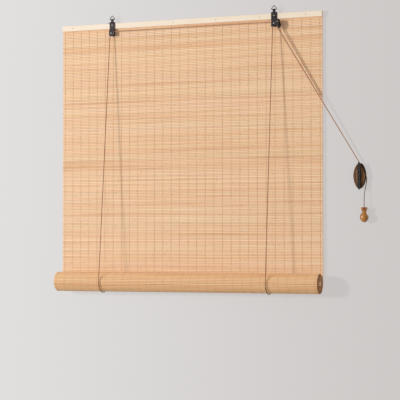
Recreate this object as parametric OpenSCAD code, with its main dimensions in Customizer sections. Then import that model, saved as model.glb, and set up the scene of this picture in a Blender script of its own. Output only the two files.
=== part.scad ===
// Bamboo roll up blind: a slat mat hung from a nailed headrail, part rolled up towards the viewer.
// Two cords pass under the roll and over pulleys to a cord lock, a wall cleat and a turned acorn.
// X runs along the headrail, Y into the wall and Z up. The origin is the middle of the headrail's back face.

/* [Mat] */
// Width of the mat and the headrail
mat_width = 900; // [600:10:1400]
// Height of the flat part, from the headrail's lower edge to the roll's axis
flat_drop = 824; // [500:4:1200]
// Distance from one slat to the next
slat_pitch = 5; // [4:0.5:7]
// Thickness of a slat
slat_thick = 1.8; // [1.4:0.1:2.2]
// Columns of binding thread across the mat
thread_columns = 31; // [15:1:41]
// Width of a binding thread
thread_width = 1.4; // [0.8:0.1:2]

/* [Roll] */
// Outer radius of the roll
roll_radius = 32.5; // [26:0.5:45]
// Distance from one turn of the roll to the next
turn_pitch = 3; // [2.7:0.1:4]
// Radius of the round bottom bar inside the roll
bar_radius = 7; // [5:0.5:10]

/* [Headrail] */
// Height of both battens
rail_height = 18; // [14:1:30]
// Thickness of the front batten
front_batten = 5.2; // [4:0.2:10]
// Thickness of the back batten
back_batten = 6; // [5.6:0.2:12]

/* [Brackets] */
// Middle of the left strap, as a share of the width
left_share = -0.296; // [-0.4:0.002:-0.15]
// Middle of the right strap, as a share of the width
right_share = 0.327; // [0.15:0.002:0.4]
// Width of a strap
strap_width = 20; // [16:1:26]
// Thickness of the sheet steel
sheet = 1.2; // [0.8:0.1:1.6]
// Width of the ring at its foot
ring_width = 17; // [14:0.5:22]
// Height of the ring from its foot bar to its top
ring_height = 12; // [10:0.5:18]
// Radius of the ring's wire
ring_wire = 1; // [0.8:0.1:1.3]

/* [Pulleys] */
// Radius of the cord's path round a wheel
wheel_path = 6; // [5.5:0.25:8]
// Thickness of a wheel
wheel_thick = 5.6; // [5:0.2:8]
// Radius of the axle rivets
axle_radius = 1.5; // [1.2:0.1:2]

/* [Cords] */
// Diameter of the cords
cord_dia = 2.4; // [1.8:0.1:2.8]
// Where the loops pass under the roll, as a share of the width each side
loop_share = 0.317; // [0.2:0.001:0.4]

/* [Cleat] */
// Distance from the mat's edge to the middle of the cleat
cleat_out = 119; // [60:1:300]
// Depth of the cleat's middle below the headrail's lower edge
cleat_down = 495; // [300:5:700]
// Length of the cleat's horn bar
cleat_length = 86; // [70:1:130]
// Width of the cord wound on the cleat
hank_width = 41; // [32:1:60]

/* [Acorn] */
// Height of the turned acorn
acorn_height = 46; // [34:1:60]
// Radius of the acorn's bulb
acorn_radius = 13; // [10:0.5:16]
// Length of the cord from the hank to the acorn
tail_drop = 96; // [80:2:200]

/* [Hidden] */
$fn = 48;
half_w = mat_width / 2;
cord_r = cord_dia / 2;
half_t = slat_thick / 2;
rail_top = rail_height / 2;
rail_bottom = -rail_height / 2;
clear = 0.3;

// Depths, all in front of the wall plane
y_mat_back = -back_batten;
y_mat = y_mat_back - half_t;
y_mat_front = y_mat_back - slat_thick;
y_rail_front = y_mat_front - front_batten;
y_strap_front = y_rail_front - sheet;

// Mat
mat_top = rail_top - 1;
roll_z = rail_bottom - flat_drop;
roll_y = y_mat_back - roll_radius;
slat_count = floor((mat_top - roll_z) / slat_pitch);
slat_step = (mat_top - roll_z) / slat_count;
slat_gap = 0.7;
web = 0.25;
gap_count = min(118, slat_count - 8);
gap_height = slat_gap - 0.1;
gap_rows = slat_count - ceil(rail_height / slat_step) - 1;
thread_thick = 0.35;
thread_margin = 8;
thread_gap = (mat_width - 2 * thread_margin) / (thread_columns - 1);

// Roll: the turns follow a spiral from the foot of the flat part in to the bottom bar
spiral_out = roll_radius - half_t;
spiral_in = bar_radius + half_t + 0.4;
spiral_length = PI * (spiral_out * spiral_out - spiral_in * spiral_in) / turn_pitch;
lap_slats = floor(spiral_length / slat_pitch);
bar_over = 2;
bar_cut = 1;
bar_long = mat_width + 2 * bar_over;

// Headrail trim
edge_cut = 0.8;
nail_shares = [-0.458, -0.056, 0.108, 0.272, 0.442];
nail_head_r = 1.4;
nail_r = 0.7;

// Brackets
left_x = left_share * mat_width;
right_x = right_share * mat_width;
strap_top = rail_top + 4.5;
neck_width = ring_width * 0.53;
eye_z = strap_top + 7.6;
eye_y = y_rail_front - sheet / 2;
eye_bore = ring_wire + 0.08;
eye_r = eye_bore + sheet;
corner = min(2, (strap_width - neck_width) / 4.5);
screw_z = 2.4;
screw_r = 1.5;
screw_head_r = 3.2;
screw_head_h = 1.7;
rivet_lip = 1.3;
rivet_head_h = 1.1;
ring_bend = ring_wire + 0.9;

// Pulleys: the left wheel and the rear wheel of the right bracket turn in one plane
groove_r = wheel_path - cord_r - 0.2;
flange_r = wheel_path + cord_r + 0.2;
side_clear = 0.2;
bend = 0.6;
house_top = rail_bottom - 4;
axle_z = house_top - sheet - flange_r - 2.1;
house_bottom = axle_z - flange_r - 2.1;
y_cheek = y_strap_front - sheet;
rear_y = y_cheek - side_clear - wheel_thick / 2;
front_y = rear_y - wheel_thick - side_clear;
left_gap = wheel_thick + 2 * side_clear;
right_gap = 2 * wheel_thick + 3 * side_clear;
left_axle_x = left_x;
right_axle_x = right_x + 5;
bore_r = axle_radius + 0.06;

// Cord lock: a cam hung on a pin to the right of the wheels, with its nose beside the cords
cam_pin_r = 1.4;
cam_boss_r = 3.2;
cam_nose_r = 2.5;
cam_pin = [right_axle_x + flange_r + cam_boss_r - 0.1, axle_z + 4.6];
cam_nose = [cam_pin[0] + 3.1, axle_z - flange_r - 5.7];
nose_path = cam_nose_r + cord_r + clear;
cam_width = right_gap - 1.2;

// Loops under the roll
loop_r = roll_radius + 0.6 + cord_r;
loop_x = loop_share * mat_width;
anchor_y = -back_batten / 2;
knot_r = min(2.8, back_batten / 2 - 0.1);

// Cleat and hank
cleat_x = half_w + cleat_out;
cleat_z = rail_bottom - cleat_down;
cleat_foot = 3;
cleat_stem = 12;
cleat_bar = 6;
horn_rise = 2;
stem_width = 8;
stem_length = cleat_length * 0.44;
screw_gap = cleat_length * 0.25;
cleat_hole_r = 2.1;
hank_height = cleat_length - 6;
hank_tip = cleat_z + hank_height / 2;
hank_y = -(cleat_foot + cleat_stem / 2);

// Acorn hangs in front of the wall, below the hank
acorn_x = cleat_x + hank_width * 0.36;
acorn_y = -acorn_radius - 1;
acorn_top = cleat_z - tail_drop;
acorn_rim = acorn_radius * 0.8;
acorn_neck = acorn_radius * 0.52;
acorn_bore = cord_r + 0.3;

// Unit vector
function unit(v) = v / norm(v);

// One ring of a tube: points round p, square to the way t, with side vectors found from ref
function tube_ring(p, t, ref, r, n) =
    let (u = unit(cross(t, ref)), v = cross(unit(t), u))
    [for (k = [0 : n - 1]) p + r * (cos(360 * k / n) * u + sin(360 * k / n) * v)];

// Direction of a route at point i
function route_way(p, i) =
    let (j = min(i, len(p) - 2), k = max(i, 1))
    unit(unit(p[j + 1] - p[j]) + unit(p[k] - p[k - 1]));

// Arc in the X Z plane at depth y, from angle a0 to a1 round the centre c
function arc_xz(c, r, y, a0, a1, n) =
    [for (k = [0 : n]) let (a = a0 + (a1 - a0) * k / n) [c[0] + r * cos(a), y, c[1] + r * sin(a)]];

// Angle at which a line from outside point p touches a circle round c, on the side given by s
function touch_angle(p, c, r, s) =
    let (d = p - c)
    atan2(d[1], d[0]) + s * acos(r / norm(d));

// Cord as one closed tube along the route p
module tube(p, ref, r = cord_r, n = 8) {
    m = len(p);
    rings = [for (i = [0 : m - 1]) each tube_ring(p[i], route_way(p, i), ref, r, n)];
    sides = [for (i = [0 : m - 2], k = [0 : n - 1])
        let (a = i * n + k, b = i * n + (k + 1) % n)
        each [[a, b + n, b], [a, a + n, b + n]]];
    ends = [[for (k = [0 : n - 1]) k], [for (k = [n - 1 : -1 : 0]) (m - 1) * n + k]];
    polyhedron(points = rings, faces = concat(sides, ends), convexity = 6);
}

// Outline with round corners: p are its corners, turning to the left, and r their radii
function rounded(p, r, n = 6) =
    [for (i = [0 : len(p) - 1])
        let (m = len(p), b = p[i], u = unit(p[(i + m - 1) % m] - b), v = unit(p[(i + 1) % m] - b))
        let (half = acos(u * v) / 2, turn = sign(u[1] * v[0] - u[0] * v[1]))
        let (c = b + unit(u + v) * r[i] / sin(half), s = b + u * r[i] / tan(half) - c, a = atan2(s[1], s[0]))
        each r[i] == 0
            ? [b]
            : [for (k = [0 : n]) let (w = a + turn * (180 - 2 * half) * k / n) c + r[i] * [cos(w), sin(w)]]];

// Half outline of a low round head
function dome(r, h, n = 8) = concat([[0, 0]], [for (k = [0 : n]) [r * cos(90 * k / n), h * sin(90 * k / n)]]);

// Puts an outline drawn in Y and Z along X, from x0 for a length
module along_x(x0, length) {
    translate([x0, 0, 0])
        rotate([90, 0, 90])
            linear_extrude(height = length)
                children();
}

// Puts an outline drawn in X and Z into the depth, from y0 towards the viewer
module into_front(y0, depth) {
    translate([0, y0, 0])
        rotate([90, 0, 0])
            linear_extrude(height = depth)
                children();
}

// Round bar along Y, from y0 towards the viewer
module pin_y(x, z, y0, r, depth) {
    translate([x, y0, z])
        rotate([90, 0, 0])
            cylinder(r = r, h = depth);
}

// Batten with cut edges between two depths
module batten(y0, y1) {
    c = edge_cut;
    along_x(-half_w, mat_width)
        polygon([
            [y0 + c, rail_bottom], [y1 - c, rail_bottom], [y1, rail_bottom + c], [y1, rail_top - c],
            [y1 - c, rail_top], [y0 + c, rail_top], [y0, rail_top - c], [y0, rail_bottom + c]
        ]);
}

module headrail_front() {
    color("wheat")
        difference() {
            batten(y_rail_front, y_mat_front);
            for (s = nail_shares)
                pin_y(s * mat_width, 0, y_rail_front + 3.5, nail_r, 5);
            for (x = [left_x, right_x])
                pin_y(x, screw_z, y_rail_front + 3.2, screw_r, 5);
        }
}

module headrail_back() {
    color("wheat")
        difference() {
            batten(y_mat_back, 0);
            for (x = [-loop_x, loop_x])
                translate([x, anchor_y, rail_bottom - 1])
                    cylinder(r = cord_r + clear, h = rail_height + 2);
        }
}

module headrail_nails() {
    color("sienna")
        for (s = nail_shares)
            translate([s * mat_width, y_rail_front, 0])
                rotate([90, 0, 0]) {
                    cylinder(r1 = nail_head_r, r2 = nail_head_r - 0.4, h = 0.6);
                    translate([0, 0, -3.4])
                        cylinder(r = nail_r - 0.02, h = 3.5);
                }
}

// Outline of one side of the slats, up from the roll's axis: out is 1 for the front and -1 for the back
function slat_side(out) =
    [for (i = [0 : slat_count - 1])
        let (z0 = roll_z + i * slat_step + slat_gap / 2, z1 = z0 + slat_step - slat_gap)
        each [
            [y_mat - out * web, z0], [y_mat - out * half_t, z0],
            [y_mat - out * half_t, z1], [y_mat - out * web, z1]
        ]];

function backwards(p) = [for (i = [len(p) - 1 : -1 : 0]) p[i]];

// Gaps that let light through between slats, from one selvedge to the other
module light_gaps() {
    for (k = [0 : gap_count - 1]) {
        row = 1 + floor((k + 0.5) * gap_rows / gap_count);
        z = roll_z + row * slat_step;
        translate([-half_w + thread_margin / 2, y_mat - slat_thick, z - gap_height / 2])
            cube([mat_width - thread_margin, 2 * slat_thick, gap_height]);
    }
}

module mat_flat() {
    color("burlywood")
        difference() {
            along_x(-half_w, mat_width)
                polygon(concat(slat_side(1), backwards(slat_side(-1))));
            light_gaps();
        }
}

module mat_threads() {
    z0 = roll_z + slat_gap;
    tall = rail_bottom - clear - z0;
    color("tan")
        for (i = [0 : thread_columns - 1], y = [y_mat_front - thread_thick, y_mat_back])
            translate([-half_w + thread_margin + i * thread_gap - thread_width / 2, y, z0])
                cube([thread_width, thread_thick, tall]);
}

// Angle round the roll, in degrees, after a length s of mat from the foot of the flat part
function lap_angle(s) =
    360 / turn_pitch * (spiral_out - sqrt(spiral_out * spiral_out - turn_pitch * s / PI));

// Point on the roll at angle a, moved out from the middle of the mat
function lap_point(a, out) =
    let (r = spiral_out - turn_pitch * a / 360 + out)
    [roll_y + r * cos(a), roll_z - r * sin(a)];

function lap_side(out) =
    [for (i = [0 : lap_slats - 1])
        let (s = i * slat_pitch + slat_gap / 2)
        let (a0 = lap_angle(s), a1 = lap_angle(s + slat_pitch - slat_gap))
        each [
            lap_point(a0, out * web), lap_point(a0, out * half_t),
            lap_point(a1, out * half_t), lap_point(a1, out * web)
        ]];

module mat_roll() {
    color("peru")
        along_x(-half_w, mat_width)
            polygon(concat(lap_side(1), backwards(lap_side(-1))));
}

module bottom_bar() {
    color("wheat")
        translate([-half_w - bar_over, roll_y, roll_z])
            rotate([0, 90, 0])
                rotate_extrude()
                    polygon([
                        [0, 0], [bar_radius - bar_cut, 0], [bar_radius, bar_cut],
                        [bar_radius, bar_long - bar_cut], [bar_radius - bar_cut, bar_long], [0, bar_long]
                    ]);
}

// Strap on the headrail's front face, with a neck and a curled eye above it
module strap(x, axle_x) {
    w = strap_width / 2;
    n = neck_width / 2;
    color("dimgray")
        difference() {
            union() {
                into_front(y_rail_front, sheet)
                    polygon(rounded([
                        [x - w, house_bottom], [x + w, house_bottom], [x + w, strap_top],
                        [x + n, strap_top], [x + n, eye_z], [x - n, eye_z],
                        [x - n, strap_top], [x - w, strap_top]
                    ], [corner, corner, corner, corner, 0, 0, corner, corner]));
                translate([x - n, eye_y, eye_z])
                    rotate([0, 90, 0])
                        cylinder(r = eye_r, h = neck_width);
            }
            translate([x - n - 1, eye_y, eye_z])
                rotate([0, 90, 0])
                    cylinder(r = eye_bore, h = neck_width + 2);
            pin_y(x, screw_z, y_rail_front + 1, screw_r, sheet + 2);
            pin_y(axle_x, axle_z, y_rail_front + 1, axle_radius, sheet + 2);
        }
}

// Triangular wire ring: a foot bar through the eye, two legs, and round bends
module ring(x) {
    b = ring_bend;
    foot = ring_width / 2 - b;
    rise = ring_height - 2 * b;
    slope = atan2(rise, foot);
    leg = norm([foot, rise]);
    corners = [[-foot, 0], [foot, 0], [0, rise]];
    starts = [90 + slope, -90, 90 - slope];
    sweeps = [180 - slope, 180 - slope, 2 * slope];
    color("slategray")
        translate([x, eye_y, eye_z + b])
            rotate([90, 0, 0]) {
                for (i = [0 : 2])
                    translate([corners[i][0], corners[i][1], 0])
                        rotate([0, 0, starts[i]])
                            rotate_extrude(angle = sweeps[i])
                                translate([b, 0])
                                    circle(r = ring_wire);
                translate([-foot, -b, 0])
                    rotate([0, 90, 0])
                        cylinder(r = ring_wire, h = 2 * foot);
                for (s = [-1, 1])
                    translate([s * (foot + b * sin(slope)), b * cos(slope), 0])
                        rotate([-90, 0, s * (90 - slope)])
                            cylinder(r = ring_wire, h = leg);
            }
}

// Round headed screw that holds a strap to the front batten
module strap_screw(x) {
    color("silver")
        translate([x, y_strap_front, screw_z])
            rotate([90, 0, 0])
                difference() {
                    union() {
                        rotate_extrude()
                            polygon(dome(screw_head_r, screw_head_h));
                        translate([0, 0, -sheet - 3])
                            cylinder(r = screw_r - 0.03, h = sheet + 3.1);
                    }
                    translate([-screw_head_r, -0.4, screw_head_h - 0.7])
                        cube([2 * screw_head_r, 0.8, 1]);
                }
}

// Wheel with a cord groove
module wheel(x, y) {
    h = wheel_thick / 2;
    lip = 0.6;
    floor_half = cord_r * 0.8;
    color("gainsboro")
        translate([x, y, axle_z])
            rotate([90, 0, 0])
                rotate_extrude()
                    polygon([
                        [bore_r, -h], [flange_r, -h], [flange_r, -h + lip], [groove_r, -floor_half],
                        [groove_r, floor_half], [flange_r, h - lip], [flange_r, h], [bore_r, h]
                    ]);
}

// Rivet across the cheeks, with a head in front and its tail flush in the strap
module axle(x, gap) {
    depth = 3 * sheet + gap;
    color("silver")
        translate([x, y_rail_front, axle_z])
            rotate([90, 0, 0]) {
                cylinder(r = axle_radius, h = depth + 0.1);
                translate([0, 0, depth])
                    rotate_extrude()
                        polygon(dome(axle_radius + rivet_lip, rivet_head_h));
            }
}

// Housing folded from one sheet: a back cheek on the strap, a top and a front cheek, with round bends
module housing(outline, x0, x1, gap) {
    y0 = y_strap_front - 2 * sheet - gap;
    low = house_bottom - 1;
    color("dimgray")
        intersection() {
            into_front(y_strap_front + 1, 2 * sheet + gap + 2)
                polygon(outline);
            along_x(x0 - 1, x1 - x0 + 2)
                difference() {
                    polygon(rounded([
                        [y0, low], [y_strap_front, low], [y_strap_front, house_top], [y0, house_top]
                    ], [0, 0, bend + sheet, bend + sheet]));
                    polygon(rounded([
                        [y0 + sheet, low - 1], [y_strap_front - sheet, low - 1],
                        [y_strap_front - sheet, house_top - sheet], [y0 + sheet, house_top - sheet]
                    ], [0, 0, bend, bend]));
                }
        }
}

cheek_corner = 3;
left_half = flange_r + 0.4;
left_outline = rounded([
    [left_axle_x - left_half, house_bottom], [left_axle_x + left_half, house_bottom],
    [left_axle_x + left_half, house_top], [left_axle_x - left_half, house_top]
], [cheek_corner, cheek_corner, 0, 0]);
right_left = right_axle_x - flange_r - 0.2;
right_top = cam_pin[0] + cam_boss_r - 0.4;
right_low = right_top + 5.6;
right_outline = rounded([
    [right_left, house_bottom], [right_low, house_bottom],
    [right_top, house_top], [right_left, house_top]
], [cheek_corner, cheek_corner, 0, 0]);

module left_strap() { strap(left_x, left_axle_x); }

module left_ring() { ring(left_x); }

module left_screw() { strap_screw(left_x); }

module left_housing() {
    color("dimgray")
        difference() {
            housing(left_outline, left_axle_x - left_half, left_axle_x + left_half, left_gap);
            pin_y(left_axle_x, axle_z, y_strap_front + 1, axle_radius, 30);
        }
}

module left_wheel() { wheel(left_axle_x, rear_y); }

module left_axle() { axle(left_axle_x, left_gap); }

module right_strap() { strap(right_x, right_axle_x); }

module right_ring() { ring(right_x); }

module right_screw() { strap_screw(right_x); }

module lock_housing() {
    color("dimgray")
        difference() {
            housing(right_outline, right_left, right_low, right_gap);
            pin_y(right_axle_x, axle_z, y_strap_front + 1, axle_radius, 40);
            pin_y(cam_pin[0], cam_pin[1], y_strap_front + 1, cam_pin_r, 40);
        }
}

module rear_wheel() { wheel(right_axle_x, rear_y); }

module front_wheel() { wheel(right_axle_x, front_y); }

module right_axle() { axle(right_axle_x, right_gap); }

// Pin of the lock cam, with a low head in front
module cam_pin_rivet() {
    depth = 2 * sheet + right_gap;
    color("silver")
        translate([cam_pin[0], y_strap_front, cam_pin[1]])
            rotate([90, 0, 0]) {
                cylinder(r = cam_pin_r, h = depth + 0.1);
                translate([0, 0, depth])
                    rotate_extrude()
                        polygon(dome(cam_pin_r + 0.7, 0.7));
            }
}

// Cam that can pinch both cords: a boss on the pin, an arm and a round nose
module lock_cam() {
    y0 = y_cheek - (right_gap - cam_width) / 2;
    way = unit(cam_nose - cam_pin);
    side = [-way[1], way[0]];
    color("darkslategray")
        difference() {
            union() {
                pin_y(cam_pin[0], cam_pin[1], y0, cam_boss_r, cam_width);
                pin_y(cam_nose[0], cam_nose[1], y0, cam_nose_r, cam_width);
                into_front(y0, cam_width)
                    polygon([
                        cam_pin + 2.4 * side, cam_nose + 2 * side,
                        cam_nose - 2 * side, cam_pin - 2.4 * side
                    ]);
            }
            pin_y(cam_pin[0], cam_pin[1], y0 + 1, cam_pin_r + 0.06, cam_width + 2);
        }
}

// Route points of the loops and lift runs
function lift_top(side) = side < 0
    ? [left_axle_x - wheel_path, rear_y, axle_z]
    : [right_axle_x - wheel_path, front_y, axle_z];
function front_touch(side) =
    let (top = lift_top(side), a = touch_angle([top[1], top[2]], [roll_y, roll_z], loop_r, 1))
    a < 0 ? a + 360 : a;
function loop_point(side, a) =
    [side * loop_x, roll_y + loop_r * cos(a), roll_z + loop_r * sin(a)];
loop_rings = 10;
cord_gap = 0.5;
function loop_route(side) =
    let (a = front_touch(side))
    [for (k = [0 : loop_rings]) loop_point(side, a + (360 - a) * k / loop_rings)];

module cord_loop(side) {
    color("saddlebrown")
        tube(loop_route(side), [1, 0, 0]);
}

module front_run(side) {
    top = lift_top(side);
    low = loop_point(side, front_touch(side));
    way = unit(top - low);
    color("saddlebrown")
        tube([top - 0.2 * way, low + cord_gap * way], [1, 0, 0]);
}

module back_run(side) {
    low = loop_point(side, 360);
    color("saddlebrown")
        tube([
            low + [0, 0, cord_gap],
            [side * loop_x, anchor_y, rail_bottom - 20],
            [side * loop_x, anchor_y, rail_top + 1]
        ], [1, 0, 0]);
}

module stop_knot(side) {
    color("saddlebrown")
        difference() {
            translate([side * loop_x, anchor_y, rail_top + knot_r])
                sphere(r = knot_r);
            translate([side * loop_x, anchor_y, rail_top - 1])
                cylinder(r = cord_r + 0.05, h = 2.4);
        }
}

module left_loop() { cord_loop(-1); }

module left_front_run() { front_run(-1); }

module left_back_run() { back_run(-1); }

module left_knot() { stop_knot(-1); }

module right_loop() { cord_loop(1); }

module right_front_run() { front_run(1); }

module right_back_run() { back_run(1); }

module right_knot() { stop_knot(1); }

// Pull cords leave the right hand wheels past the cam's nose and run down to the cleat
pull_end_x = cleat_x - 2;
pull_end_z = hank_tip + cord_r + 0.5;
right_centre = [right_axle_x, axle_z];
span = cam_nose - right_centre;
cross_way = atan2(span[1], span[0]) - asin((wheel_path + nose_path) / norm(span));
nose_out = touch_angle([pull_end_x, pull_end_z], cam_nose, nose_path, -1);

function pull_route(y, end_y) = concat(
    arc_xz(cam_nose, nose_path, y, cross_way + 270, nose_out + 360, 2),
    [[pull_end_x, end_y, pull_end_z]]
);

module left_pull_cord() {
    color("saddlebrown")
        tube(concat(
            arc_xz([left_axle_x, axle_z], wheel_path, rear_y, 180, 90, 5),
            arc_xz(right_centre, wheel_path, rear_y, 90, cross_way + 90, 5),
            pull_route(rear_y, hank_y + cord_r + 0.2)
        ), [0, 1, 0]);
}

module right_pull_cord() {
    color("saddlebrown")
        tube(concat(
            arc_xz(right_centre, wheel_path, front_y, 180, cross_way + 90, 9),
            pull_route(front_y, hank_y - cord_r - 0.2)
        ), [0, 1, 0]);
}

// Outline with round ends: half width a, half height b
function stadium(a, b, n) =
    [for (k = [0 : n - 1])
        let (t = 360 * (k + 0.5) / n, up = sin(t) > 0 ? 1 : -1)
        [a * cos(t), a * sin(t) + up * (b - a)]];

// Lens outline of the wound cord, with narrow round ends
function lens(a, b, n) =
    [for (k = [0 : n - 1])
        let (t = 360 * k / n, c = cos(t))
        [a * sign(c) * pow(abs(c), 1.35), b * sin(t)]];

module on_cleat(y0, depth) {
    translate([cleat_x, 0, cleat_z])
        into_front(y0, depth)
            children();
}

// Horn bar of the cleat: its half width, and its wall side and front side, from the middle out to a tip
function horn_taper(t) = sqrt(max(0, 1 - pow(t, 10)));
function horn_half(t) = (stem_width / 2 + 0.8 - 2 * t * t) * horn_taper(t);
function horn_middle(t) = -cleat_foot - cleat_stem - cleat_bar / 2 - horn_rise / 2 * t * t;
function horn_thick(t) = (cleat_bar / 2 - horn_rise / 2 * t * t) * horn_taper(t);
horn_steps = 16;
up_horn = [for (k = [-horn_steps : horn_steps]) sin(90 * k / horn_steps)];
down_horn = [for (k = [horn_steps - 1 : -1 : 1 - horn_steps]) sin(90 * k / horn_steps)];

module horn_bar() {
    b = cleat_length / 2;
    intersection() {
        on_cleat(-cleat_foot - cleat_stem + 1, cleat_bar + 2)
            polygon(concat(
                [for (t = up_horn) [horn_half(abs(t)), b * t]],
                [for (t = down_horn) [-horn_half(abs(t)), b * t]]
            ));
        translate([0, 0, cleat_z])
            along_x(cleat_x - stem_width, 2 * stem_width)
                polygon(concat(
                    [for (t = up_horn) [horn_middle(abs(t)) + horn_thick(abs(t)), b * t]],
                    [for (t = down_horn) [horn_middle(abs(t)) - horn_thick(abs(t)), b * t]]
                ));
    }
}

// Wall cleat: a foot, a narrow stem and a bar with two tapered horns that curve away from the wall
module cleat() {
    w = stem_width / 2;
    color("black")
        difference() {
            union() {
                on_cleat(0, cleat_foot)
                    polygon(stadium(w + 3, stem_length / 2 + 8, 24));
                on_cleat(-cleat_foot + 0.1, cleat_stem + 1)
                    polygon(stadium(w, stem_length / 2, 24));
                horn_bar();
            }
            for (s = [-1, 1])
                pin_y(cleat_x, cleat_z + s * screw_gap / 2, 1, cleat_hole_r, 30);
        }
}

// Cord wound round the cleat's stem
module cord_hank() {
    color("peru")
        difference() {
            on_cleat(-cleat_foot - clear, cleat_stem - 2 * clear)
                polygon(lens(hank_width / 2, hank_height / 2, 56));
            on_cleat(-cleat_foot + 1, cleat_stem + 2)
                polygon(stadium(stem_width / 2 + clear, stem_length / 2 + clear, 24));
        }
}

// Tail of the cord, from the hank's side down into the acorn
tail_x = cleat_x + hank_width / 2 + cord_r + 0.1;
tail_route = [
    [tail_x, hank_y, cleat_z - 1],
    [tail_x + 0.8, hank_y, cleat_z - 0.09 * tail_drop],
    [tail_x - 1.2, hank_y - 0.5, cleat_z - 0.22 * tail_drop],
    [acorn_x + 2.6, hank_y - 2, cleat_z - 0.4 * tail_drop],
    [acorn_x + 0.3, acorn_y + 1.5, cleat_z - 0.6 * tail_drop],
    [acorn_x - 0.2, acorn_y + 0.3, cleat_z - 0.82 * tail_drop],
    [acorn_x, acorn_y, acorn_top],
    [acorn_x, acorn_y, acorn_top - 12]
];

module cord_tail() {
    color("saddlebrown")
        tube(tail_route, [0, 1, 0]);
}

// Half outline of the acorn: a flared rim, a neck and a round bulb
rim_low = 4.4;
neck_low = acorn_height * 0.34;
belly = 0.45;
function bulb_r(t) = t < belly
    ? acorn_neck + (acorn_radius - acorn_neck) * sin(90 * t / belly)
    : acorn_radius * sqrt(1 - pow((t - belly) / (1 - belly), 2));
function acorn_side() = concat(
    [
        [acorn_bore, 0], [acorn_rim - 1.6, 0], [acorn_rim - 0.4, -1],
        [acorn_rim, -2.6], [acorn_rim - 0.5, -rim_low]
    ],
    [for (k = [1 : 5])
        let (t = k / 5)
        [acorn_neck + (acorn_rim - 0.5 - acorn_neck) * pow(1 - t, 2), -rim_low - t * (neck_low - rim_low)]],
    [for (k = [1 : 14])
        let (t = k / 14)
        [max(1.2, bulb_r(t)), -neck_low - t * (acorn_height - neck_low)]]
);

module acorn() {
    color("chocolate")
        translate([acorn_x, acorn_y, acorn_top])
            rotate_extrude()
                polygon(concat(acorn_side(), [[0, -acorn_height], [0, -14], [acorn_bore, -14]]));
}

headrail_front();
headrail_back();
headrail_nails();
mat_flat();
mat_threads();
mat_roll();
bottom_bar();
left_strap();
left_ring();
left_screw();
left_housing();
left_wheel();
left_axle();
right_strap();
right_ring();
right_screw();
lock_housing();
rear_wheel();
front_wheel();
right_axle();
lock_cam();
cam_pin_rivet();
left_loop();
left_front_run();
left_back_run();
left_knot();
right_loop();
right_front_run();
right_back_run();
right_knot();
left_pull_cord();
right_pull_cord();
cleat();
cord_hank();
cord_tail();
acorn();
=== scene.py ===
"""Bamboo roll up blind: slats, binding threads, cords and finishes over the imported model."""
import logging
import math
import random
from abc import ABC, abstractmethod
from dataclasses import dataclass, field
from enum import Enum
from functools import lru_cache
from typing import Callable, Iterable, Optional, Sequence, Union

import bmesh
import bpy
from mathutils import Matrix, Vector


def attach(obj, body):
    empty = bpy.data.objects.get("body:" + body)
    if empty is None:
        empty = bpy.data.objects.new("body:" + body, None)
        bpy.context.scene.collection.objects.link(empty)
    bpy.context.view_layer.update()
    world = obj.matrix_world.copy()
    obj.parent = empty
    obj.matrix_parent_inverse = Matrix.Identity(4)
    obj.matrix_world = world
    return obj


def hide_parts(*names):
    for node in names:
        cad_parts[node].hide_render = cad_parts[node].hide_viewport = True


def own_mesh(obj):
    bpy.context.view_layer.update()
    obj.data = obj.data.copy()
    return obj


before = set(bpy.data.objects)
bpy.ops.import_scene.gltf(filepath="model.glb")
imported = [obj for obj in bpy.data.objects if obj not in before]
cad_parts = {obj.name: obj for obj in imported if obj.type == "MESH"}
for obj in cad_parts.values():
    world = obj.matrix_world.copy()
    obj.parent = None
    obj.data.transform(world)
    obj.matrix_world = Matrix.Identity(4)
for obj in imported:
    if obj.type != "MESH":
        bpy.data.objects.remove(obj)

LOG = logging.getLogger("blind")
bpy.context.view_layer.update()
GRAIN = "grain"  # map along a piece's fibres
ROW_STEP = 0.02  # step of that map from slat to slat
CORD_LAY = 0.0085  # metres in which a strand of the cord goes round once
CORD_STRANDS = 3

Colour = tuple[float, float, float, float]
Spot = tuple[float, float]
Way = tuple[float, float, float]
Value = Union["Sock", float]
Inputs = dict[str, Union["Sock", float, Colour]]
Line = Sequence[Vector]
Shape = bmesh.types.BMesh
Mesh, Piece, Material = bpy.types.Mesh, bpy.types.Object, bpy.types.Material


class Body(Enum):
    """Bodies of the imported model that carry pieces."""

    FRAME = "frame"
    LIFT = "lift"
    ROLL = "roll"


class Slot(Enum):
    """Names of material slots, which builders take as arguments but don't read."""

    BAMBOO = "bamboo"
    THREAD = "thread"
    DARK_STEEL = "dark_steel"
    CORD = "cord"
    BLACK_PLASTIC = "black_plastic"
    TURNED_WOOD = "turned_wood"


class Side(Enum):
    """The two sides of the blind, by the sign of X."""

    LEFT = -1
    RIGHT = 1


def mm(x: float, y: float, z: float) -> Vector:
    """A point given in millimetres, in metres."""
    return Vector((x, y, z)) * 0.001


def paint(*parts: int) -> Colour:
    """A display colour from 0 to 255 a channel, as linear light with full alpha."""
    shares = [part / 255 for part in parts]
    return (*(c / 12.92 if c <= 0.04045 else ((c + 0.055) / 1.055) ** 2.4 for c in shares), 1.0)


# Shader sums


def operator(operation: str, swapped: bool = False) -> Callable[..., "Sock"]:
    """Makes an operator of sockets.

    Args:
        operation: Name of the sum in the Math node.
        swapped: Whether the other value comes first.

    Returns:
        A method that adds the node.
    """

    def apply(self: "Sock", other: Value = 0.0) -> "Sock":
        """Adds one Math node."""
        pair = (other, self) if swapped else (self, other)
        return self.bench.node("ShaderNodeMath", {"operation": operation}, dict(enumerate(pair)))

    return apply


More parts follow.
